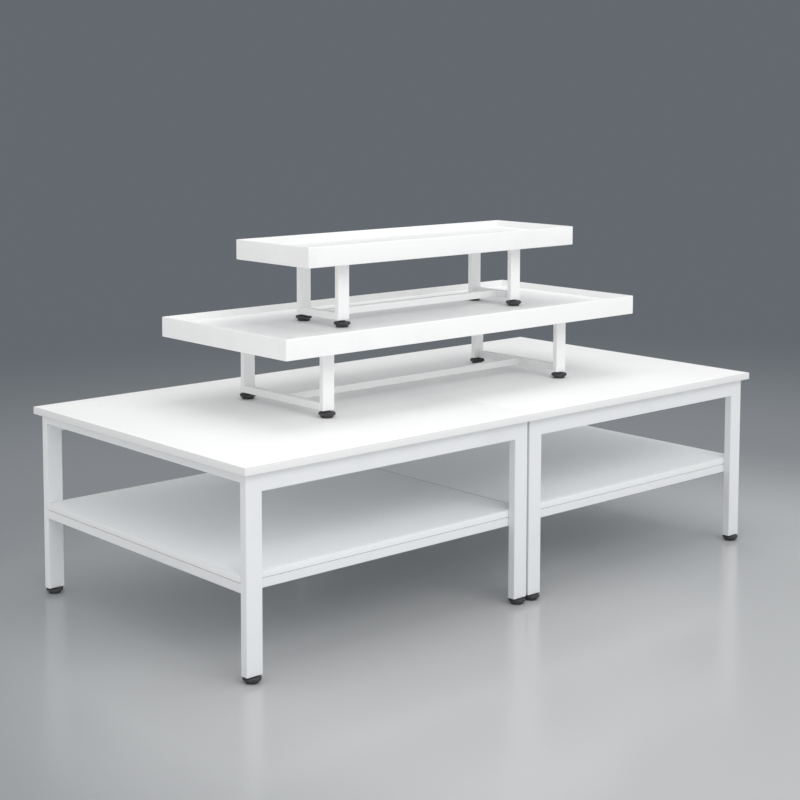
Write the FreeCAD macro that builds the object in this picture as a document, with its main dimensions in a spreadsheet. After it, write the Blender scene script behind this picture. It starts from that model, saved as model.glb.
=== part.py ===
# Tiered shop display table: two square base tables side by side, with two lift-off tray risers on them.
# X runs along the front, Y from the front to the back, Z up. The origin is on the floor under the middle.
import FreeCAD, Part
import Sketcher
import os
import re

DRIVING_SIZES = (
    # one base table
    ("table_length", 1220, "one base table along the front; two stand side by side"),
    ("table_depth", 1220, "base table, front to back"),
    ("table_height", 660, "floor to the upper face of the top board"),
    ("board_thick", 25, "laminate faced board, top and shelf alike"),
    ("board_arris", 1, "small chamfer on the board's upper edges and corners"),
    ("end_overhang", 20, "top board past the outer legs"),
    ("face_overhang", 23, "top board past the front and back legs"),
    ("seam_setback", 5, "inner legs back from the seam between the tables"),
    # steel tube
    ("tube_wall", 1.5, "wall of every tube"),
    ("tube_ease", 1.5, "eased outer corners of a rail, apron or stretcher"),
    ("leg_corner", 3, "outer corner radius of a leg"),
    ("plate_thick", 4, "foot plate welded into the end of a leg"),
    ("leg_wide", 60, "base leg, along the front"),
    ("leg_deep", 30, "base leg, front to back"),
    ("apron_high", 60, "front and back apron"),
    ("rail_wide", 30, "end, cross and shelf rails"),
    ("rail_high", 30, "end, cross and shelf rails"),
    ("shelf_level", 327, "floor to the upper face of the shelf board"),
    # levelling feet
    ("base_reach", 22, "floor to the end of a base leg"),
    ("riser_reach", 25, "standing face to the end of a riser leg"),
    ("foot_gap", 0.3, "free space over the foot's collar when it is screwed right in"),
    ("foot_base", 21, "radius of the foot's standing face"),
    ("foot_waist", 24, "radius of the foot just under its flange"),
    ("foot_flange", 29, "radius of the flange"),
    ("flange_level", 9, "standing face to the flange's lower edge"),
    ("flange_thick", 9, "height of the flange's rim"),
    ("flange_chamfer", 2, "chamfer round the flange's top"),
    ("collar_radius", 12, "collar between the crown and the leg's end"),
    ("stud_radius", 5, "threaded stud"),
    ("stud_length", 30, "stud above the collar"),
    ("stud_gap", 0.25, "between the stud and the hole in the foot plate"),
    # trays
    ("skirt_deep", 70, "skirt of a tray, rim to lip"),
    ("tray_recess", 25, "rim down to the tray's floor"),
    ("rim_thick", 4, "hemmed rim of a tray"),
    ("sheet_thick", 1.5, "steel sheet of a tray"),
    ("lip_wide", 15, "return lip along the bottom of the skirt"),
    ("tray_corner", 3, "outer corner radius of a tray"),
    # risers
    ("middle_length", 1700, "middle tray along the front"),
    ("middle_depth", 700, "middle tray, front to back"),
    ("middle_height", 305, "base top to the middle tray's rim"),
    ("middle_end_inset", 250, "middle tray's end to its leg"),
    ("middle_face_inset", 120, "middle tray's front to its leg"),
    ("middle_shift_x", 6, "middle riser right of the base's middle"),
    ("middle_shift_y", 22, "middle riser behind the base's middle"),
    ("upper_length", 1300, "top tray along the front"),
    ("upper_depth", 400, "top tray, front to back"),
    ("upper_height", 295, "middle tray's floor to the top tray's rim"),
    ("upper_end_inset", 200, "top tray's end to its leg"),
    ("upper_face_inset", 85, "top tray's front to its leg"),
    ("upper_shift_x", 8, "top riser right of the base's middle"),
    ("upper_shift_y", 8, "top riser behind the base's middle"),
    ("post_wide", 50, "riser leg, along the front"),
    ("post_deep", 20, "riser leg, front to back"),
    ("brace_high", 20, "cross rail under a tray's floor"),
    ("stretcher_wide", 25, "low stretcher of a riser"),
    ("stretcher_high", 25, "low stretcher of a riser"),
)

FOOT_SIDES = 16
COLLAR_SIDES = 8
SAME_PLACE = 0.001

doc = FreeCAD.newDocument("TieredDisplayTable")
sheet = doc.addObject("Spreadsheet::Sheet", "Sizes")
for row, (alias, value, note) in enumerate(DRIVING_SIZES, start=1):
    sheet.set(f"A{row}", alias)
    sheet.set(f"B{row}", str(value))
    sheet.set(f"C{row}", note)
    sheet.setAlias(f"B{row}", alias)
doc.recompute()

pieces = []


def tie(thing, path, formula):
    """Bind one property or constraint to a formula of the sheet's sizes."""
    thing.setExpression(path, re.sub(r"[a-z][a-z_]+", lambda word: "Sizes." + word.group(), formula))


def new_body(name, x, y, z):
    """One sub-part, with its own origin placed by three formulas."""
    body = doc.addObject("PartDesign::Body", name)
    body.Label = name
    tie(body, "Placement.Base.x", x)
    tie(body, "Placement.Base.y", y)
    tie(body, "Placement.Base.z", z)
    pieces.append(body)
    return body


def origin_feature(body, role):
    """One of the body's own origin planes or axes."""
    return next(item for item in body.Origin.OriginFeatures if item.Role == role)


def new_sketch(body, name, plane="XY_Plane", across="0", level="0"):
    """An empty sketch on an origin plane, moved along its first axis and lifted along its normal."""
    sketch = body.newObject("Sketcher::SketchObject", f"{body.Name}_{name}")
    sketch.AttachmentSupport = [(origin_feature(body, plane), "")]
    sketch.MapMode = "FlatFace"
    tie(sketch, "AttachmentOffset.Base.x", across)
    tie(sketch, "AttachmentOffset.Base.z", level)
    return sketch


def amount(formula):
    """What a sum or difference of sizes comes to, so that a sketch is drawn close to its final shape."""
    terms = re.findall(r"([+-]?) ?([a-z_]+)", formula)
    return sum(-getattr(sheet, size) if sign == "-" else getattr(sheet, size) for sign, size in terms)


def hold(sketch, kind, ends, formula, share=1):
    """A dimension in a sketch that follows a formula, or an even share of it."""
    index = sketch.addConstraint(Sketcher.Constraint(kind, *ends, amount(formula) / share))
    tie(sketch, f"Constraints[{index}]", f"({formula}) / {share}")


def centre_sides(sketch, bottom, right, top, left, wide, high):
    """Keep the four sides of a rectangle level or upright, and centred on the sketch's origin."""
    for line in (bottom, top):
        sketch.addConstraint(Sketcher.Constraint("Horizontal", line))
    for line in (right, left):
        sketch.addConstraint(Sketcher.Constraint("Vertical", line))
    hold(sketch, "DistanceX", (-1, 1, right, 1), wide, share=2)
    hold(sketch, "DistanceX", (left, 1, -1, 1), wide, share=2)
    hold(sketch, "DistanceY", (-1, 1, top, 1), high, share=2)
    hold(sketch, "DistanceY", (bottom, 1, -1, 1), high, share=2)


def rectangle(sketch, wide, high):
    """A sharp rectangle, centred on the sketch's origin."""
    x = amount(wide) / 2
    y = amount(high) / 2
    corners = [FreeCAD.Vector(*corner, 0) for corner in ((-x, -y), (x, -y), (x, y), (-x, y))]
    sides = [
        sketch.addGeometry(Part.LineSegment(start, end), False)
        for start, end in zip(corners, corners[1:] + corners[:1])
    ]
    for here, there in zip(sides, sides[1:] + sides[:1]):
        sketch.addConstraint(Sketcher.Constraint("Coincident", here, 2, there, 1))
    centre_sides(sketch, *sides, wide, high)


def pad(sketch, length, both_ways=False):
    """Raise a sketch from its plane, or evenly to both sides of it."""
    solid = sketch.getParentGeoFeatureGroup().newObject("PartDesign::Pad", sketch.Name + "_pad")
    solid.Profile = sketch
    solid.SideType = "Symmetric" if both_ways else "One side"
    tie(solid, "Length", length)
    return solid


def pocket(sketch, depth=""):
    """Cut a sketch out upwards from its plane, through everything when no depth is given."""
    cut = sketch.getParentGeoFeatureGroup().newObject("PartDesign::Pocket", sketch.Name + "_pocket")
    cut.Profile = sketch
    cut.Reversed = True
    if depth:
        tie(cut, "Length", depth)
    else:
        cut.Type = "ThroughAll"


def edges_at(shape, *wanted):
    """Names of the wanted edges: X, Y or Z for those that run that way along the corners of the shape's box,
    top or bottom for those round its upper or lower end."""
    box = shape.BoundBox
    sides = ((box.XMin, box.XMax), (box.YMin, box.YMax), (box.ZMin, box.ZMax))
    names = []
    for number, edge in enumerate(shape.Edges, start=1):
        span = edge.BoundBox
        reach = ((span.XMin, span.XMax), (span.YMin, span.YMax), (span.ZMin, span.ZMax))
        at_low = [high < side_low + SAME_PLACE for (_, high), (side_low, _) in zip(reach, sides)]
        at_high = [low > side_high - SAME_PLACE for (low, _), (_, side_high) in zip(reach, sides)]
        runs = "".join(axis for axis, low, high in zip("XYZ", at_low, at_high) if not (low or high))
        at_top = "top" in wanted and at_high[2]
        at_bottom = "bottom" in wanted and at_low[2]
        if runs in wanted or at_top or at_bottom:
            names.append(f"Edge{number}")
    return names


def dress(feature, kind, size, *wanted):
    """Fillet or chamfer the wanted outer edges of the body's last feature."""
    doc.recompute()
    body = feature.getParentGeoFeatureGroup()
    dressed = body.newObject("PartDesign::" + kind, f"{feature.Name}_{kind.lower()}")
    dressed.Base = (feature, edges_at(feature.Shape, *wanted))
    tie(dressed, "Radius" if kind == "Fillet" else "Size", size)


def section_of_tube(sketch, wide, high):
    """The outline of a rectangular tube and its bore."""
    rectangle(sketch, wide, high)
    rectangle(sketch, f"{wide} - tube_wall - tube_wall", f"{high} - tube_wall - tube_wall")


def tube(name, run, wide, high, length, centre, across="0"):
    """A straight steel tube along X or Y, with its middle at a centre given by three formulas."""
    body = new_body(name, *centre)
    section = new_sketch(body, "section", {"X": "YZ_Plane", "Y": "XZ_Plane"}[run], across)
    section_of_tube(section, wide, high)
    dress(pad(section, length, both_ways=True), "Chamfer", "tube_ease", run)
    return body


def leg(name, wide, deep, length, foot):
    """An upright tube with a plate in its lower end, drilled for the stud of the levelling foot."""
    body = new_body(name, *foot)
    outside = new_sketch(body, "outside")
    rectangle(outside, wide, deep)
    dress(pad(outside, length), "Fillet", "leg_corner", "Z")
    bore = new_sketch(body, "bore", level="plate_thick")
    rectangle(bore, f"{wide} - tube_wall - tube_wall", f"{deep} - tube_wall - tube_wall")
    pocket(bore)
    stud_hole = new_sketch(body, "stud_hole")
    circle = Part.Circle(FreeCAD.Vector(), FreeCAD.Vector(0, 0, 1), amount("stud_radius + stud_gap"))
    stud_hole.addGeometry(circle, False)
    stud_hole.addConstraint(Sketcher.Constraint("Coincident", 0, 3, -1, 1))
    hold(stud_hole, "Radius", (0,), "stud_radius + stud_gap")
    pocket(stud_hole)


def prism(body, name, sides, radius, height, level):
    """A regular prism about the body's own Z axis, standing at a level."""
    solid = body.newObject("PartDesign::AdditivePrism", f"{body.Name}_{name}")
    solid.AttachmentSupport = [(origin_feature(body, "XY_Plane"), "")]
    solid.MapMode = "FlatFace"
    solid.Polygon = sides
    tie(solid, "Circumradius", radius)
    tie(solid, "Height", height)
    tie(solid, "AttachmentOffset.Base.z", level)
    return solid


def levelling_foot(name, x, y, z):
    """A plastic foot moulded round a steel stud, its flange cut in flats to turn it by."""
    body = new_body(name, x, y, z)
    flange_top = "flange_level + flange_thick"
    base = prism(body, "base", FOOT_SIDES, "foot_waist", "flange_level", "0")
    dress(base, "Chamfer", "foot_waist - foot_base", "bottom")
    flange = prism(body, "flange", FOOT_SIDES, "foot_flange", "flange_thick", "flange_level")
    dress(flange, "Chamfer", "flange_chamfer", "top")
    collar_height = f"base_reach - foot_gap - ({flange_top})"
    prism(body, "collar", COLLAR_SIDES, "collar_radius", collar_height, flange_top)
    stud = body.newObject("PartDesign::AdditiveCylinder", name + "_stud")
    stud.AttachmentSupport = [(origin_feature(body, "XY_Plane"), "")]
    stud.MapMode = "FlatFace"
    tie(stud, "Radius", "stud_radius")
    tie(stud, "Height", "stud_length")
    tie(stud, "AttachmentOffset.Base.z", "base_reach - foot_gap")


def spread_copies(body, axis, count, span):
    """Repeat the body's tube along an axis, the copies evenly spread over the span."""
    body.AllowCompound = True
    copies = body.newObject("PartDesign::LinearPattern", body.Name + "_copies")
    copies.TransformMode = "Whole shape"
    copies.Direction = (origin_feature(body, axis), [""])
    copies.Occurrences = count
    tie(copies, "Length", span)
    body.Tip = copies


def board(name, length, depth, x, z):
    """A laminate faced board, its upper edges and its upright corners eased."""
    body = new_body(name, x, "0", z)
    blank = new_sketch(body, "blank")
    rectangle(blank, length, depth)
    dress(pad(blank, "board_thick"), "Chamfer", "board_arris", "top", "Z")


def tray(name, length, depth, x, y, z):
    """A tray folded from sheet: skirt, hemmed rim, sunk floor and a return lip along the bottom."""
    body = new_body(name, x, y, z)
    skirt = new_sketch(body, "skirt")
    rectangle(skirt, length, depth)
    dress(pad(skirt, "skirt_deep"), "Fillet", "tray_corner", "Z")
    floor = new_sketch(body, "floor", level="skirt_deep - tray_recess")
    rectangle(floor, f"{length} - rim_thick - rim_thick", f"{depth} - rim_thick - rim_thick")
    pocket(floor)
    mouth = new_sketch(body, "mouth")
    rectangle(mouth, f"{length} - lip_wide - lip_wide", f"{depth} - lip_wide - lip_wide")
    pocket(mouth, "sheet_thick")
    hollow = new_sketch(body, "hollow", level="sheet_thick")
    rectangle(hollow, f"{length} - sheet_thick - sheet_thick", f"{depth} - sheet_thick - sheet_thick")
    pocket(hollow, "skirt_deep - tray_recess - sheet_thick - sheet_thick")


# ---- the two base tables ----
between_legs = "table_depth - face_overhang - face_overhang - leg_deep - leg_deep"
frame_length = "table_length - end_overhang - seam_setback"
for side, sign in (("left", "-1"), ("right", "1")):
    frame_middle = f"{sign} * (table_length - end_overhang + seam_setback) / 2"
    outer_leg = f"{sign} * (table_length - end_overhang - leg_wide / 2)"
    inner_leg = f"{sign} * (seam_setback + leg_wide / 2)"
    outer_rail = f"{sign} * (table_length - end_overhang - rail_wide / 2)"
    inner_rail = f"{sign} * (seam_setback + rail_wide / 2)"

    board(f"{side}_top_board", "table_length", "table_depth",
          f"{sign} * table_length / 2", "table_height - board_thick")
    for row_name, row_sign in (("front", "-1"), ("back", "1")):
        leg_y = f"{row_sign} * (table_depth / 2 - face_overhang - leg_deep / 2)"
        for end_name, leg_x in (("outer", outer_leg), ("inner", inner_leg)):
            corner_name = f"{side}_{row_name}_{end_name}"
            leg(f"{corner_name}_leg", "leg_wide", "leg_deep",
                "table_height - board_thick - base_reach", (leg_x, leg_y, "base_reach"))
            levelling_foot(f"{corner_name}_foot", leg_x, leg_y, "0")
        tube(f"{side}_{row_name}_apron", "X", "leg_deep", "apron_high",
             f"{frame_length} - leg_wide - leg_wide",
             (frame_middle, leg_y, "table_height - board_thick - apron_high / 2"))

    rail_level = "table_height - board_thick - rail_high / 2"
    for rail_name, rail_x in (("outer_end_rail", outer_rail), ("inner_end_rail", inner_rail),
                              ("top_cross_rail", frame_middle)):
        tube(f"{side}_{rail_name}", "Y", "rail_wide", "rail_high", between_legs,
             (rail_x, "0", rail_level))

    # shelf frame: two end rails and a middle one across, two long rails between the end rails
    shelf_frame_level = "shelf_level - board_thick - rail_high / 2"
    cross = tube(f"{side}_shelf_cross_rails", "Y", "rail_wide", "rail_high", between_legs,
                 (frame_middle, "0", shelf_frame_level), across=f"-({frame_length} - rail_wide) / 2")
    spread_copies(cross, "X_Axis", 2, f"{frame_length} - rail_wide")
    middle = new_sketch(cross, "middle_section", "XZ_Plane")
    section_of_tube(middle, "rail_wide", "rail_high")
    pad(middle, f"{between_legs} - rail_wide - rail_wide", both_ways=True)
    along = tube(f"{side}_shelf_long_rails", "X", "rail_wide", "rail_high",
                 f"{frame_length} - rail_wide - rail_wide",
                 (frame_middle, "0", shelf_frame_level), across=f"-({between_legs} - rail_wide) / 2")
    spread_copies(along, "Y_Axis", 2, f"{between_legs} - rail_wide")
    board(f"{side}_shelf_board", frame_length, between_legs, frame_middle, "shelf_level - board_thick")

# ---- the two risers ----
for riser, size, stand in (
    ("middle_riser", "middle", "table_height"),
    ("top_riser", "upper", "table_height + middle_height - tray_recess"),
):
    length = f"{size}_length"
    depth = f"{size}_depth"
    tray_level = f"{stand} + {size}_height - skirt_deep"
    floor_level = f"{stand} + {size}_height - tray_recess - sheet_thick"
    leg_level = f"{stand} + riser_reach"
    leg_reach = f"({length} / 2 - {size}_end_inset - post_wide / 2)"
    leg_span = f"{length} - {size}_end_inset - {size}_end_inset"

    tray(f"{riser}_tray", length, depth, f"{size}_shift_x", f"{size}_shift_y", tray_level)
    braces = tube(f"{riser}_cross_rails", "Y", "post_wide", "brace_high",
                  f"{depth} - sheet_thick - sheet_thick",
                  (f"{size}_shift_x", f"{size}_shift_y", f"{floor_level} - brace_high / 2"),
                  across=f"-{leg_reach}")
    spread_copies(braces, "X_Axis", 2, f"2 * {leg_reach}")

    for end_name, end_sign in (("left", "-"), ("right", "+")):
        leg_x = f"{size}_shift_x {end_sign} {leg_reach}"
        for row_name, row_sign in (("front", "-"), ("back", "+")):
            leg_y = f"{size}_shift_y {row_sign} ({depth} / 2 - {size}_face_inset - post_deep / 2)"
            corner_name = f"{riser}_{end_name}_{row_name}"
            leg(f"{corner_name}_leg", "post_wide", "post_deep",
                f"{size}_height - tray_recess - sheet_thick - brace_high - riser_reach",
                (leg_x, leg_y, leg_level))
            levelling_foot(f"{corner_name}_foot", leg_x, leg_y, stand)
        tube(f"{riser}_{end_name}_stretcher", "Y", "stretcher_wide", "stretcher_high",
             f"{depth} - {size}_face_inset - {size}_face_inset - post_deep - post_deep",
             (f"{size}_shift_x {end_sign} ({leg_span} - stretcher_wide) / 2", f"{size}_shift_y",
              f"{leg_level} + stretcher_high / 2"))
    tube(f"{riser}_long_stretcher", "X", "stretcher_wide", "stretcher_high",
         f"{leg_span} - stretcher_wide - stretcher_wide",
         (f"{size}_shift_x", f"{size}_shift_y", f"{leg_level} + stretcher_high / 2"))

doc.recompute()
for item in doc.Objects:
    if "Invalid" in item.State or "Error" in item.State:
        raise RuntimeError(f"{item.Name} didn't recompute: {item.getStatusString()}")
os.makedirs("parts", exist_ok=True)
for piece in pieces:
    if piece.Shape.isNull() or not piece.Shape.isValid():
        raise RuntimeError(f"{piece.Label} has no valid shape")
    piece.Shape.exportStep(os.path.join("parts", piece.Label + ".step"))
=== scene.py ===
import math

import bpy
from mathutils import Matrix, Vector


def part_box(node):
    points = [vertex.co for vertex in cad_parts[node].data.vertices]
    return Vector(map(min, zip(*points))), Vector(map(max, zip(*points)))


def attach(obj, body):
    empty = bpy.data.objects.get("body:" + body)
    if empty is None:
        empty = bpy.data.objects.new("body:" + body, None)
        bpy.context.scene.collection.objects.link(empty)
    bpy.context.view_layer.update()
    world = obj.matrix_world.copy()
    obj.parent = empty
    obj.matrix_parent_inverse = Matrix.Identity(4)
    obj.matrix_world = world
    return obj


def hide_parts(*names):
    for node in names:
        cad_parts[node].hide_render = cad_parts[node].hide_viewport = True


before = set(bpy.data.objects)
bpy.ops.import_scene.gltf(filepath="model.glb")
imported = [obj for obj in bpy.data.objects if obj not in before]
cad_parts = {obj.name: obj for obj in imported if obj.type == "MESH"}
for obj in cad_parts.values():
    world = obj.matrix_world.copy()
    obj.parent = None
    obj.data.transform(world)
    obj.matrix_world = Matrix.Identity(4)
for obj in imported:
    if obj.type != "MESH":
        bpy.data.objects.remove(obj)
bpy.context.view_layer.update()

# The steel frames: legs, aprons, rails and stretchers of rectangular tube, welded up and powder
# coated white. They are the frame's own solids. The coat has the fine orange peel of sprayed and
# baked powder, is a touch thicker and so glossier in places, and gathers a breath of shop dust.
# The base frame's two tones are tinted cool, a painted shade standing for the cool light low under
# the tops; the risers' are neutral.
BASE_WHITE = (0.85, 0.865, 0.88, 1)
BASE_DUST = (0.81, 0.825, 0.84, 1)
RISER_WHITE = (0.94, 0.943, 0.946, 1)
RISER_DUST = (0.90, 0.903, 0.906, 1)
TUBE_PEEL = 420
TUBE_ROUGHNESS = 0.38


def connect(owner, node, inputs):
    """Link each input that is given an output of another node, and set each other to its value."""
    for socket, given in inputs.items():
        if isinstance(given, bpy.types.NodeSocket):
            owner.node_tree.links.new(given, node.inputs[socket])
        else:
            node.inputs[socket].default_value = given


def add_node(owner, kind, inputs, **settings):
    """Put a new node into a material or the world."""
    node = owner.node_tree.nodes.new(kind)
    for setting, value in settings.items():
        setattr(node, setting, value)
    connect(owner, node, inputs)
    return node


def new_finish(name, specular=0.5):
    """A new material, its shader, and the place on the piece that its patterns follow."""
    finish = bpy.data.materials.new(name)
    finish.use_nodes = True
    shader = finish.node_tree.nodes["Principled BSDF"]
    shader.inputs["Specular IOR Level"].default_value = specular
    place = add_node(finish, "ShaderNodeTexCoord", {}).outputs["Object"]
    return finish, shader, place


def uneven(finish, place, scale, detail, distortion=0):
    """A soft random pattern over a piece, with about so many patches to the metre."""
    inputs = {"Vector": place, "Scale": scale, "Detail": detail, "Distortion": distortion}
    return add_node(finish, "ShaderNodeTexNoise", inputs).outputs["Fac"]


def two_tones(finish, pattern, low, high):
    """A colour that passes from one tone to the other as a pattern rises, each at its own level."""
    ramp = add_node(finish, "ShaderNodeValToRGB", {"Fac": pattern})
    for stop, (level, tone) in enumerate((low, high)):
        ramp.color_ramp.elements[stop].position = level
        ramp.color_ramp.elements[stop].color = tone
    return ramp.outputs["Color"]


def between(finish, pattern, low, high, start=0, end=1):
    """A number that goes from low to high as a pattern goes from start to end."""
    inputs = {"Value": pattern, "From Min": start, "From Max": end, "To Min": low, "To Max": high}
    return add_node(finish, "ShaderNodeMapRange", inputs).outputs["Result"]


def relief(finish, height, strength, distance):
    """The fine ups and downs of a surface."""
    inputs = {"Height": height, "Strength": strength, "Distance": distance}
    return add_node(finish, "ShaderNodeBump", inputs).outputs["Normal"]


def powder_coat(name, clean, dusty, peel_per_metre, roughness):
    """Sprayed and baked powder: orange peel in the surface, slow drifts of colour and gloss."""
    coat, shader, place = new_finish(name, specular=0.3)
    drift = uneven(coat, place, scale=3.5, detail=4)
    cloud = uneven(coat, place, scale=24, detail=6)
    peel = uneven(coat, place, scale=peel_per_metre, detail=3)
    sheen = between(coat, cloud, roughness - 0.05, roughness + 0.06, start=0.3, end=0.7)
    inputs = {
        "Base Color": two_tones(coat, drift, (0.30, dusty), (0.46, clean)),
        "Roughness": sheen,
        "Normal": relief(coat, peel, strength=0.12, distance=0.0004),
    }
    connect(coat, shader, inputs)
    return coat


base_coat = powder_coat("base_frame_powder_coat", BASE_WHITE, BASE_DUST, TUBE_PEEL, TUBE_ROUGHNESS)
riser_coat = powder_coat(
    "riser_frame_powder_coat", RISER_WHITE, RISER_DUST, TUBE_PEEL, TUBE_ROUGHNESS
)
for name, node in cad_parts.items():
    if not name.endswith(("_board", "_tray", "_foot")):
        node.data.materials.clear()
        node.data.materials.append(riser_coat if "_riser_" in name else base_coat)

# The welds: short beads run into the corners where one tube meets another, laid in small
# overlapping pools and coated with the frame. Where two tubes lie flush the weld fills the groove
# by the post's round corner and is ground level, so no outer face shows a bead.
BEAD_RADIUS = 0.0019
BEAD_WAIST = 0.0016
BEAD_INSET = 0.002
BEAD_SIDES = 6
POOL_PITCH = 0.0026
RAIL_WIDE = 0.03
STRETCHER_WIDE = 0.025
POST_WIDE = 0.05
POST_ROUND = 0.003
TUBE_EASE = 0.0015
GROUND_END = 0.0005
CREASE = math.radians(40)


def only(piece):
    """Select one piece and nothing else."""
    bpy.ops.object.select_all(action="DESELECT")
    piece.select_set(True)
    bpy.context.view_layer.objects.active = piece


def pick(piece, kind, wanted):
    """Select just those faces or edges of a piece that are wanted, and open it for editing."""
    only(piece)
    mesh = piece.data
    for part in (*mesh.vertices, *mesh.edges, *mesh.polygons):
        part.select = False
    for part in mesh.polygons if kind == "FACE" else mesh.edges:
        part.select = wanted(part)
    bpy.ops.object.mode_set(mode="EDIT")
    bpy.ops.mesh.select_mode(type=kind)


def block(name, low, high):
    """A plain block between two corners, the start of a piece."""
    bpy.ops.object.select_all(action="DESELECT")
    bpy.ops.mesh.primitive_cube_add(size=1, location=(low + high) / 2, scale=high - low)
    bpy.ops.object.transform_apply(location=True, rotation=True, scale=True)
    piece = bpy.context.object
    piece.name = name
    return piece


def turned(name, start, profile, sides, along="Z"):
    """A solid of revolution: a disc drawn from ring to ring, each with its radius and height."""
    axis = Vector((along == "X", along == "Y", along == "Z"))
    quarter = math.radians(90)
    turn = {"X": (0, quarter, 0), "Y": (quarter, 0, 0), "Z": (0, 0, 0)}[along]
    radius, reach = profile[0]
    bpy.ops.object.select_all(action="DESELECT")
    bpy.ops.mesh.primitive_circle_add(
        vertices=sides,
        radius=radius,
        fill_type="NGON",
        location=start + axis * reach,
        rotation=turn,
    )
    piece = bpy.context.object
    piece.name = name
    bpy.ops.object.transform_apply(location=True, rotation=True, scale=True)
    bpy.ops.object.mode_set(mode="EDIT")
    bpy.ops.mesh.select_all(action="SELECT")
    for next_radius, next_reach in profile[1:]:
        step = axis * (next_reach - reach)
        growth = next_radius / radius
        bpy.ops.mesh.extrude_region_move(TRANSFORM_OT_translate={"value": step})
        bpy.ops.transform.resize(
            value=[1 if fixed else growth for fixed in axis], center_override=start
        )
        radius, reach = next_radius, next_reach
    bpy.ops.mesh.select_all(action="SELECT")
    bpy.ops.mesh.normals_make_consistent(inside=False)
    bpy.ops.object.mode_set(mode="OBJECT")
    bpy.ops.object.shade_smooth_by_angle(angle=CREASE)
    return piece


def repeat_at(piece, places):
    """Copy all that a piece holds from its first place to each of the others."""
    only(piece)
    bpy.ops.object.mode_set(mode="EDIT")
    bpy.ops.mesh.select_all(action="SELECT")
    for here, there in zip(places, places[1:]):
        bpy.ops.mesh.duplicate_move(TRANSFORM_OT_translate={"value": there - here})
    bpy.ops.object.mode_set(mode="OBJECT")


def corners_at(x_places, y_places, level):
    """Every corner where one of the x places meets one of the y places, at one level."""
    return [Vector((x, y, level)) for x in x_places for y in y_places]


def row_of_beads(name, along, length, corners):
    """One bead along an axis, repeated in every corner of its kind."""
    reach = BEAD_INSET
    profile = [(BEAD_WAIST / 2, reach)]
    while reach + POOL_PITCH < length - BEAD_INSET:
        profile.append((BEAD_RADIUS, reach + POOL_PITCH / 2))
        profile.append((BEAD_WAIST, reach + POOL_PITCH))
        reach += POOL_PITCH
    profile.append((BEAD_WAIST / 2, length - BEAD_INSET))
    bead = turned(name, corners[0], profile, BEAD_SIDES, along)
    repeat_at(bead, corners)
    return bead


def inside(low, high):
    """The spans of the grooves just inside two faces."""
    return [(low, low + POST_ROUND), (high - POST_ROUND, high)]


def outside(low, high):
    """The spans of the grooves just outside two faces."""
    return [(low - POST_ROUND, low), (high, high + POST_ROUND)]


def ground_weld(x_span, y_span, z_span):
    """A groove filled level between the ends of three spans, its own ends run out."""
    low, high = (Vector(ends) for ends in zip(x_span, y_span, z_span))
    weld = block("ground_weld", low, high)
    level = [round(point.co.z, 5) for point in weld.data.vertices]
    pick(weld, "EDGE", lambda edge: level[edge.vertices[0]] == level[edge.vertices[1]])
    bpy.ops.mesh.bevel(offset=GROUND_END, segments=2, affect="EDGES")
    bpy.ops.object.mode_set(mode="OBJECT")
    bpy.ops.object.shade_smooth_by_angle(angle=CREASE)
    return weld


def ground_welds(x_spans, y_spans, low, high):
    """The ground welds wherever the spans cross, as high as a tube is between its eased edges."""
    z_span = (low.z + TUBE_EASE, high.z - TUBE_EASE)
    return [ground_weld(x_span, y_span, z_span) for x_span in x_spans for y_span in y_spans]


def finish_welds(name, pieces, coat, body):
    """Join the welds of one frame, coat them like it and fix them to its body."""
    bpy.ops.object.select_all(action="DESELECT")
    for piece in pieces:
        piece.select_set(True)
    bpy.context.view_layer.objects.active = pieces[0]
    bpy.ops.object.join()
    welds = pieces[0]
    welds.name = name
    welds.data.materials.append(coat)
    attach(welds, body)


for side in ("left", "right"):
    shelf_low, shelf_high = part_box(f"{side}_shelf_cross_rails")
    middle = (shelf_low.x + shelf_high.x) / 2
    # the shelf's end rails against the legs, and its long rails against these and the middle rail
    ends = (shelf_low.x, shelf_high.x - RAIL_WIDE)
    under = corners_at(ends, (shelf_low.y, shelf_high.y), shelf_low.z)
    crossings = (
        shelf_low.x + RAIL_WIDE,
        middle - RAIL_WIDE / 2,
        middle + RAIL_WIDE / 2,
        shelf_high.x - RAIL_WIDE,
    )
    long_rails = (shelf_low.y + RAIL_WIDE, shelf_high.y - RAIL_WIDE)
    upright = corners_at(crossings, long_rails, shelf_low.z)
    # the rails under the top, with an upright bead on each face that stands clear of a leg
    for rail in ("outer_end_rail", "inner_end_rail", "top_cross_rail"):
        low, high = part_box(f"{side}_{rail}")
        faces = sorted((low.x, high.x), key=lambda x: abs(x - middle))
        open_faces = faces if rail == "top_cross_rail" else faces[:1]
        under += corners_at([low.x], (low.y, high.y), low.z)
        upright += corners_at(open_faces, (low.y, high.y), low.z)
    aprons = [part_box(f"{side}_{row}_apron") for row in ("front", "back")]
    below_aprons = []
    for low, high in aprons:
        below_aprons += corners_at((low.x, high.x), [low.y], low.z)
    rows = [
        row_of_beads("under", "X", RAIL_WIDE, under),
        row_of_beads("upright", "Z", RAIL_WIDE, upright),
        row_of_beads("below_aprons", "Y", RAIL_WIDE, below_aprons),
    ]
    for low, high in aprons:
        rows += ground_welds(outside(low.x, high.x), inside(low.y, high.y), low, high)
    end_grooves = inside(shelf_low.x, shelf_high.x)
    rows += ground_welds(
        end_grooves, outside(shelf_low.y, shelf_high.y), shelf_low, shelf_high
    )
    for rail in ("outer_end_rail", "inner_end_rail"):
        low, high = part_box(f"{side}_{rail}")
        end_groove = end_grooves[0 if low.x < middle else 1]
        rows += ground_welds([end_groove], outside(low.y, high.y), low, high)
    finish_welds(f"{side}_table_welds", rows, base_coat, f"{side}_table")

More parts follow.
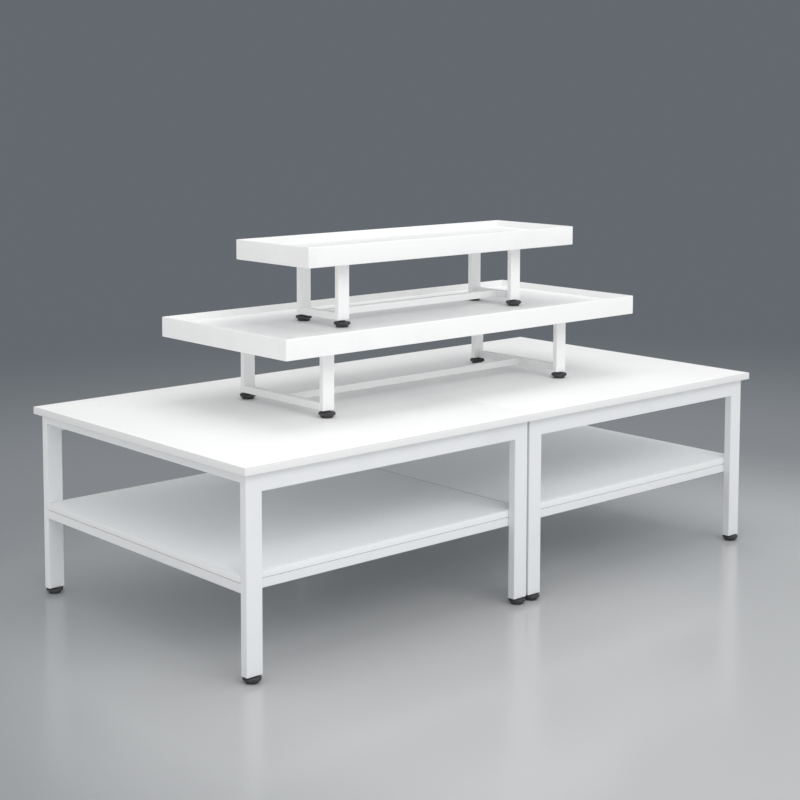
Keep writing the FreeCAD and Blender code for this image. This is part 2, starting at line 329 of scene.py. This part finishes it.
for riser in ("middle_riser", "top_riser"):
    low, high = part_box(f"{riser}_long_stretcher")
    upright = corners_at((low.x, high.x), (low.y, high.y), low.z)
    over = []
    stretchers = [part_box(f"{riser}_{end}_stretcher") for end in ("left", "right")]
    for low, high in stretchers:
        over += corners_at([low.x], (low.y, high.y), high.z)
        upright += corners_at([low.x], (low.y, high.y), low.z)
    heads = []
    for end in ("left", "right"):
        for row in ("front", "back"):
            low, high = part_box(f"{riser}_{end}_{row}_leg")
            heads += corners_at([low.x], (low.y, high.y), high.z)
    rows = [
        row_of_beads("over", "X", STRETCHER_WIDE, over),
        row_of_beads("upright", "Z", STRETCHER_WIDE, upright),
        row_of_beads("heads", "X", POST_WIDE, heads),
    ]
    for end, (low, high) in enumerate(stretchers):
        end_groove = inside(low.x, high.x)[end]
        rows += ground_welds([end_groove], outside(low.y, high.y), low, high)
    finish_welds(f"{riser}_welds", rows, riser_coat, riser)

# The boards: chipboard with a white laminate on both faces and a plastic band glued round the
# edge, its arrises scraped to a small round. The base tops and the shelves are made alike and
# screwed on from below.
BOARD_ARRIS = 0.001
BOARD_CREASE = math.radians(35)
# for each storey: its white, the tone of its drifts and its band's white. The shelf's are tinted
# cool, a painted shade standing for the cool light under the top; the top's are neutral
LAMINATE = {
    "top": ((0.93, 0.932, 0.932, 1), (0.905, 0.907, 0.91, 1), (0.88, 0.882, 0.885, 1)),
    "shelf": ((0.92, 0.938, 0.952, 1), (0.90, 0.918, 0.932, 1), (0.915, 0.93, 0.945, 1)),
}
GLUE_LINE = (0.52, 0.51, 0.49, 1)
# the dark line along the shelf's foot is painted shade: the shadow in its joint with the rails
JOINT_PAINTED_SHADE = (0.16, 0.165, 0.17, 1)
FACING_THICK = 0.0008
GLUE_THICK = 0.00025
JOINT_SHADE_THICK = 0.0013


def laminate_face(name, white, shade):
    """Matt laminate: fine pits, faint drifts of tone, and a sheen that wiping leaves uneven."""
    face, shader, place = new_finish(name, specular=0.15)
    drift = uneven(face, place, scale=2.2, detail=5)
    strokes = add_node(face, "ShaderNodeMapping", {"Vector": place, "Scale": (0.6, 2.4, 1)})
    wipes = uneven(face, strokes.outputs["Vector"], scale=6, detail=7, distortion=1.2)
    pits = add_node(face, "ShaderNodeTexVoronoi", {"Vector": place, "Scale": 900})
    inputs = {
        "Base Color": two_tones(face, drift, (0.34, shade), (0.58, white)),
        "Roughness": between(face, wipes, 0.46, 0.62),
        "Normal": relief(face, pits.outputs["Distance"], strength=0.08, distance=0.0002),
    }
    connect(face, shader, inputs)
    return face


def edge_band(name, white, lines):
    """Glued plastic band, smoother than the faces, with fine lines along it: for each its level,
    how far it reaches up and down from there, and its colour."""
    band, shader, place = new_finish(name)
    height = add_node(band, "ShaderNodeSeparateXYZ", {"Vector": place}).outputs["Z"]
    colour = white
    for level, reach, line in lines:
        near = add_node(
            band, "ShaderNodeMath", {0: height, 1: level, 2: reach}, operation="COMPARE"
        )
        inputs = {"Fac": near.outputs["Value"], "Color1": colour, "Color2": line}
        colour = add_node(band, "ShaderNodeMixRGB", inputs).outputs["Color"]
    scrape = uneven(band, place, scale=60, detail=5)
    inputs = {
        "Base Color": colour,
        "Roughness": between(band, scrape, 0.28, 0.42),
        "Normal": relief(band, scrape, strength=0.1, distance=0.0002),
    }
    connect(band, shader, inputs)
    return band


for storey, (white, shade, band_white) in LAMINATE.items():
    laminate = laminate_face(f"{storey}_board_laminate", white, shade)
    low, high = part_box(f"left_{storey}_board")
    glued = (low.z + FACING_THICK, high.z - FACING_THICK)
    lines = [(level, GLUE_THICK, GLUE_LINE) for level in glued]
    if storey == "shelf":
        # the shelf's edge is flush with the rails that it lies on, and a dark line along its foot
        # is painted shade, the shadow in the joint
        lines.append((low.z, JOINT_SHADE_THICK, JOINT_PAINTED_SHADE))
    band = edge_band(f"{storey}_board_edge_band", band_white, lines)
    for side in ("left", "right"):
        node = f"{side}_{storey}_board"
        board = block(f"{side}_{storey}_laminated_board", *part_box(node))
        board.data.materials.append(laminate)
        board.data.materials.append(band)
        for face in board.data.polygons:
            face.material_index = 0 if abs(face.normal.z) > 0.5 else 1
        pick(board, "EDGE", lambda edge: True)
        bpy.ops.mesh.bevel(offset=BOARD_ARRIS, segments=3, affect="EDGES", material=1)
        bpy.ops.object.mode_set(mode="OBJECT")
        bpy.ops.object.shade_smooth_by_angle(angle=BOARD_CREASE)
        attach(board, f"{side}_table")
        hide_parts(node)

# The screws that hold the boards: zinc plated pan heads with a cross recess, run up through each
# rail into the board above it, three to a rail.
HEAD_PROFILE = (
    (0.0044, 0.0),
    (0.0045, -0.0007),
    (0.0042, -0.0016),
    (0.0034, -0.0023),
    (0.0020, -0.0027),
)
HEAD_SIDES = 20
RECESS_LONG = 0.0046
RECESS_WIDE = 0.0009
RECESS_TOP = -0.0013
SCREW_SPREAD = 0.45
ZINC = (0.62, 0.63, 0.64, 1)
ZINC_CLOUD = (0.42, 0.43, 0.45, 1)


def zinc_plate():
    """Bright zinc on steel: a soft metal sheen, clouded where the passivation is uneven."""
    zinc, shader, place = new_finish("zinc_plated_steel")
    cloud = uneven(zinc, place, scale=300, detail=5)
    inputs = {
        "Metallic": 1,
        "Base Color": two_tones(zinc, cloud, (0.3, ZINC_CLOUD), (0.65, ZINC)),
        "Roughness": between(zinc, cloud, 0.24, 0.46),
    }
    connect(zinc, shader, inputs)
    return zinc


def pan_head(place):
    """A domed head that points down, with its cross recess sunk in."""
    head = turned("pan_head", place, HEAD_PROFILE, HEAD_SIDES)
    below = Vector((0, 0, 2 * HEAD_PROFILE[-1][1]))
    for long, wide in ((RECESS_LONG, RECESS_WIDE), (RECESS_WIDE, RECESS_LONG)):
        half = Vector((long / 2, wide / 2, 0))
        top = place + half + Vector((0, 0, RECESS_TOP))
        cutter = block("recess", place - half + below, top)
        only(head)
        cut = head.modifiers.new("recess", "BOOLEAN")
        cut.object = cutter
        cut.operation = "DIFFERENCE"
        bpy.ops.object.modifier_apply(modifier=cut.name)
        only(cutter)
        bpy.ops.object.delete()
    return head


zinc = zinc_plate()
for side in ("left", "right"):
    shelf_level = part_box(f"{side}_shelf_cross_rails")[0].z
    places = []
    for rail in ("outer_end_rail", "top_cross_rail", "inner_end_rail"):
        low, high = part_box(f"{side}_{rail}")
        rail_middle = (low.x + high.x) / 2
        for level in (low.z, shelf_level):
            places += corners_at([rail_middle], (-SCREW_SPREAD, 0, SCREW_SPREAD), level)
    screws = pan_head(places[0])
    repeat_at(screws, places)
    screws.name = f"{side}_table_board_screws"
    screws.data.materials.append(zinc)
    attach(screws, f"{side}_table")

# The trays of the two risers: steel sheet folded to a deep skirt, with a hemmed rim, a floor sunk
# inside it and a narrow lip returned under the skirt. The corners are welded, ground round and
# coated with the rest.
RIM_THICK = 0.004
FLOOR_SINK = 0.025
SHEET_THICK = 0.0015
LIP_WIDE = 0.015
CORNER_ROUND = 0.003
HEM_ROUND = 0.0018
FOLD_ROUND = 0.0014
TRAY_CREASE = math.radians(35)
NEARLY = 1e-5
TRAY_WHITE = (0.94, 0.942, 0.944, 1)
TRAY_DUST = (0.90, 0.902, 0.904, 1)
TRAY_PEEL = 380
TRAY_ROUGHNESS = 0.36


def folded_tray(name, low, high):
    """A block hollowed from above to the floor, and from below behind the lip, then rounded
    where it is folded."""
    tray = block(name, low, high)
    middle = (low + high) / 2
    span = high - low

    pick(tray, "FACE", lambda face: face.normal.z > 0.5)
    bpy.ops.mesh.inset(thickness=RIM_THICK)
    bpy.ops.mesh.extrude_region_move(TRANSFORM_OT_translate={"value": (0, 0, -FLOOR_SINK)})
    bpy.ops.object.mode_set(mode="OBJECT")

    pick(tray, "FACE", lambda face: face.normal.z < -0.5)
    bpy.ops.mesh.inset(thickness=LIP_WIDE)
    bpy.ops.mesh.extrude_region_move(TRANSFORM_OT_translate={"value": (0, 0, SHEET_THICK)})
    bpy.ops.mesh.extrude_region_move(TRANSFORM_OT_translate={"value": (0, 0, 0)})
    bpy.ops.transform.resize(
        value=(
            (span.x - 2 * SHEET_THICK) / (span.x - 2 * LIP_WIDE),
            (span.y - 2 * SHEET_THICK) / (span.y - 2 * LIP_WIDE),
            1,
        ),
        center_override=middle,
    )
    under_floor = span.z - FLOOR_SINK - 2 * SHEET_THICK
    bpy.ops.mesh.extrude_region_move(TRANSFORM_OT_translate={"value": (0, 0, under_floor)})
    bpy.ops.object.mode_set(mode="OBJECT")

    def ends(edge):
        """Where the two ends of an edge are."""
        return [tray.data.vertices[end].co for end in edge.vertices]

    def inset(place):
        """How far in from the tray's ends, and from its long sides, a place lies."""
        return span.x / 2 - abs(place.x - middle.x), span.y / 2 - abs(place.y - middle.y)

    def level(edge, height):
        """Whether an edge lies level at a height."""
        return all(abs(end.z - height) < NEARLY for end in ends(edge))

    def corner_edge(edge):
        """The four upright corners of the skirt."""
        return all(max(map(abs, inset(end))) < NEARLY for end in ends(edge))

    def rim_edge(edge):
        """The outer and the inner edge of the rim, corners included."""
        if not level(edge, high.z):
            return False
        held = set(edge.vertices)
        faces = [face for face in tray.data.polygons if held <= set(face.vertices)]
        return sum(abs(face.normal.z) > 0.5 for face in faces) == 1

    def fold_edge(edge):
        """The skirt's lower outer edge, where the lip turns in, and the foot of the wall round
        the floor."""
        if level(edge, low.z):
            return all(min(inset(end)) < CORNER_ROUND + NEARLY for end in ends(edge))
        return level(edge, high.z - FLOOR_SINK)

    for wanted, offset, segments in (
        (corner_edge, CORNER_ROUND, 4),
        (rim_edge, HEM_ROUND, 3),
        (fold_edge, FOLD_ROUND, 2),
    ):
        pick(tray, "EDGE", wanted)
        bpy.ops.mesh.bevel(offset=offset, segments=segments, affect="EDGES")
        bpy.ops.object.mode_set(mode="OBJECT")
    bpy.ops.object.shade_smooth_by_angle(angle=TRAY_CREASE)
    return tray


tray_coat = powder_coat(
    "white_tray_powder_coat", TRAY_WHITE, TRAY_DUST, TRAY_PEEL, TRAY_ROUGHNESS
)
for riser in ("middle_riser", "top_riser"):
    tray = folded_tray(f"{riser}_folded_tray", *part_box(f"{riser}_tray"))
    tray.data.materials.append(tray_coat)
    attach(tray, riser)
    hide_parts(f"{riser}_tray")

# The levelling feet: a black plastic foot with a rounded flange and a tapered base, moulded round
# a plated steel stud whose thread screws into the plate in the leg's end. The thread shows where
# a foot is screwed out.
FLANGE_RADIUS = 0.029
BASE_RADIUS = 0.021
WAIST_RADIUS = 0.0238
COLLAR_RADIUS = 0.012
COLLAR_TOP = 0.0212
STUD_RADIUS = 0.005
STUD_SIDES = 24
THREAD_PITCH = 0.0015
THREAD_DEPTH = 0.0008
FOOT_SIDES = 48
# radius and height over the standing face, up the outside of the plastic
FOOT_PROFILE = (
    (0.0185, 0.0001),
    (0.0202, 0.0004),
    (BASE_RADIUS, 0.0014),
    (WAIST_RADIUS, 0.0080),
    (0.0245, 0.0087),
    (0.0272, 0.0090),
    (0.0284, 0.0096),
    (FLANGE_RADIUS, 0.0112),
    (FLANGE_RADIUS, 0.0150),
    (0.0284, 0.0168),
    (0.0268, 0.0178),
    (0.0200, 0.0180),
    (0.0128, 0.0183),
    (COLLAR_RADIUS, 0.0190),
    (COLLAR_RADIUS, COLLAR_TOP),
    (0.0115, 0.0217),
)
CHARCOAL = (0.045, 0.045, 0.048, 1)
SCUFFED = (0.11, 0.11, 0.112, 1)


def moulded_plastic():
    """Charcoal plastic with the grain of its mould, scuffed paler where it is kicked or slid."""
    plastic, shader, place = new_finish("charcoal_moulded_plastic", specular=0.45)
    scuffs = uneven(plastic, place, scale=160, detail=8)
    grain = uneven(plastic, place, scale=2200, detail=2)
    inputs = {
        "Base Color": two_tones(plastic, scuffs, (0.48, CHARCOAL), (0.74, SCUFFED)),
        "Roughness": between(plastic, scuffs, 0.38, 0.62),
        "Normal": relief(plastic, grain, strength=0.25, distance=0.0002),
    }
    connect(plastic, shader, inputs)
    return plastic


def thread_profile(start, end):
    """Crests and roots of a thread from one height to another, at the real pitch."""
    profile = [(STUD_RADIUS, start)]
    level = start
    while level + THREAD_PITCH < end:
        profile.append((STUD_RADIUS - THREAD_DEPTH, level + THREAD_PITCH / 2))
        profile.append((STUD_RADIUS, level + THREAD_PITCH))
        level += THREAD_PITCH
    profile.append((STUD_RADIUS - THREAD_DEPTH, end))
    return profile


plastic = moulded_plastic()
for node in [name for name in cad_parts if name.endswith("_foot")]:
    low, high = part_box(node)
    centre = (low + high) / 2
    centre.z = low.z
    pad = turned(f"{node}_plastic", centre, FOOT_PROFILE, FOOT_SIDES)
    pad.data.materials.append(plastic)
    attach(pad, node)
    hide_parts(node)
    thread = thread_profile(COLLAR_TOP, high.z - low.z)
    stud = turned(f"{node}_stud", centre, thread, STUD_SIDES)
    stud.data.materials.append(zinc)
    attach(stud, node)

# The studio floor under the table: smooth, pale and a little glossy. Away from the table it fades
# to nothing and shows the dark backdrop, a painted falloff of the lamps' light. It isn't part of
# the table.
FLOOR_PALE = (0.52, 0.529, 0.54, 1)
FLOOR_RADIUS = 9
FLOOR_SIDES = 128
POOL_MIDDLE = (0.2, -1.0, 0)
POOL_EDGE = 1.3
POOL_END = 6.5
POOL_SHOULDER = 0.30
SHOULDER_LOST = (0.62, 0.62, 0.62, 1)
bpy.ops.object.select_all(action="DESELECT")
bpy.ops.mesh.primitive_circle_add(
    vertices=FLOOR_SIDES, radius=FLOOR_RADIUS, fill_type="NGON", location=(0, 0, 0)
)
floor = bpy.context.object
floor.name = "studio_floor"
paint, shader, place = new_finish("studio_floor_paint")
connect(paint, shader, {"Base Color": FLOOR_PALE, "Roughness": 0.19})
# painted falloff of light: with distance from the pool's middle the floor turns to nothing, so the
# backdrop shows
away = add_node(paint, "ShaderNodeVectorMath", {0: place, 1: POOL_MIDDLE}, operation="DISTANCE")
fade = between(paint, away.outputs["Value"], 0, 1, start=POOL_EDGE, end=POOL_END)
falloff = add_node(paint, "ShaderNodeValToRGB", {"Fac": fade})
falloff.color_ramp.interpolation = "EASE"
falloff.color_ramp.elements.new(POOL_SHOULDER).color = SHOULDER_LOST
nothing = add_node(paint, "ShaderNodeBsdfTransparent", {})
lost = add_node(
    paint,
    "ShaderNodeMixShader",
    {0: falloff.outputs["Color"], 1: shader.outputs["BSDF"], 2: nothing.outputs["BSDF"]},
)
surface = paint.node_tree.nodes["Material Output"]
connect(paint, surface, {"Surface": lost.outputs["Shader"]})
floor.data.materials.append(paint)

# The studio's light: an even sky of soft white, which the camera and the gloss see as a slate
# backdrop, a wide softbox hung high before the front, one overhead, and a low one that stands
# before the front and leaves no glint on the floor.
BACKDROP = (0.127, 0.144, 0.159, 1)
SKY = (1, 1, 1, 1)
SKY_STRENGTH = 0.79
# name, place, turn in degrees, width, height, power in watts, and whether it glints
SOFTBOXES = (
    ("softbox_over", (0.2, -0.5, 5.95), (0, 0, 0), 4.5, 3.0, 68, True),
    ("softbox_front", (-1.5, -6.825, 6.1), (52, 0, 12), 8.25, 3.9, 184, True),
    ("softbox_low", (-1.6, -7.6, 0.9), (88, 0, 12), 8.0, 1.2, 49, False),
)
world = bpy.data.worlds.new("studio")
bpy.context.scene.world = world
world.use_nodes = True
sky = world.node_tree.nodes["Background"]
connect(world, sky, {"Color": SKY, "Strength": SKY_STRENGTH})
backdrop = add_node(world, "ShaderNodeBackground", {"Color": BACKDROP})
rays = add_node(world, "ShaderNodeLightPath", {}).outputs
seen = rays["Is Camera Ray"]
for ray in ("Is Glossy Ray", "Is Transmission Ray"):
    either = add_node(world, "ShaderNodeMath", {0: seen, 1: rays[ray]}, operation="MAXIMUM")
    seen = either.outputs["Value"]
around = add_node(
    world,
    "ShaderNodeMixShader",
    {0: seen, 1: sky.outputs["Background"], 2: backdrop.outputs["Background"]},
)
connect(world, world.node_tree.nodes["World Output"], {"Surface": around.outputs["Shader"]})
for name, place, turn, wide, high, power, glints in SOFTBOXES:
    angles = [math.radians(degrees) for degrees in turn]
    bpy.ops.object.light_add(type="AREA", location=place, rotation=angles)
    softbox = bpy.context.object
    softbox.name = name
    softbox.data.shape = "RECTANGLE"
    softbox.data.size = wide
    softbox.data.size_y = high
    softbox.data.energy = power
    softbox.visible_glossy = glints

# The camera stands off the table's front left corner, a little above a shopper's eye, and looks
# down by a few degrees. The rest is a shift of its lens, which keeps the legs nearly upright.
CAMERA_PLACE = (-3.9620, -4.2914, 1.7428)
CAMERA_DOWN = 5.229
CAMERA_TURN = -40.976
SENSOR_WIDE = 36
LENS = 72.412
SHIFT_ACROSS = 0.0455
SHIFT_UP = -0.2
bpy.ops.object.camera_add(
    location=CAMERA_PLACE,
    rotation=(math.radians(90 - CAMERA_DOWN), 0, math.radians(CAMERA_TURN)),
)
camera = bpy.context.object
camera.data.sensor_width = SENSOR_WIDE
camera.data.lens = LENS
camera.data.shift_x = SHIFT_ACROSS
camera.data.shift_y = SHIFT_UP
bpy.context.scene.camera = camera
bpy.context.scene.view_settings.view_transform = "Standard"
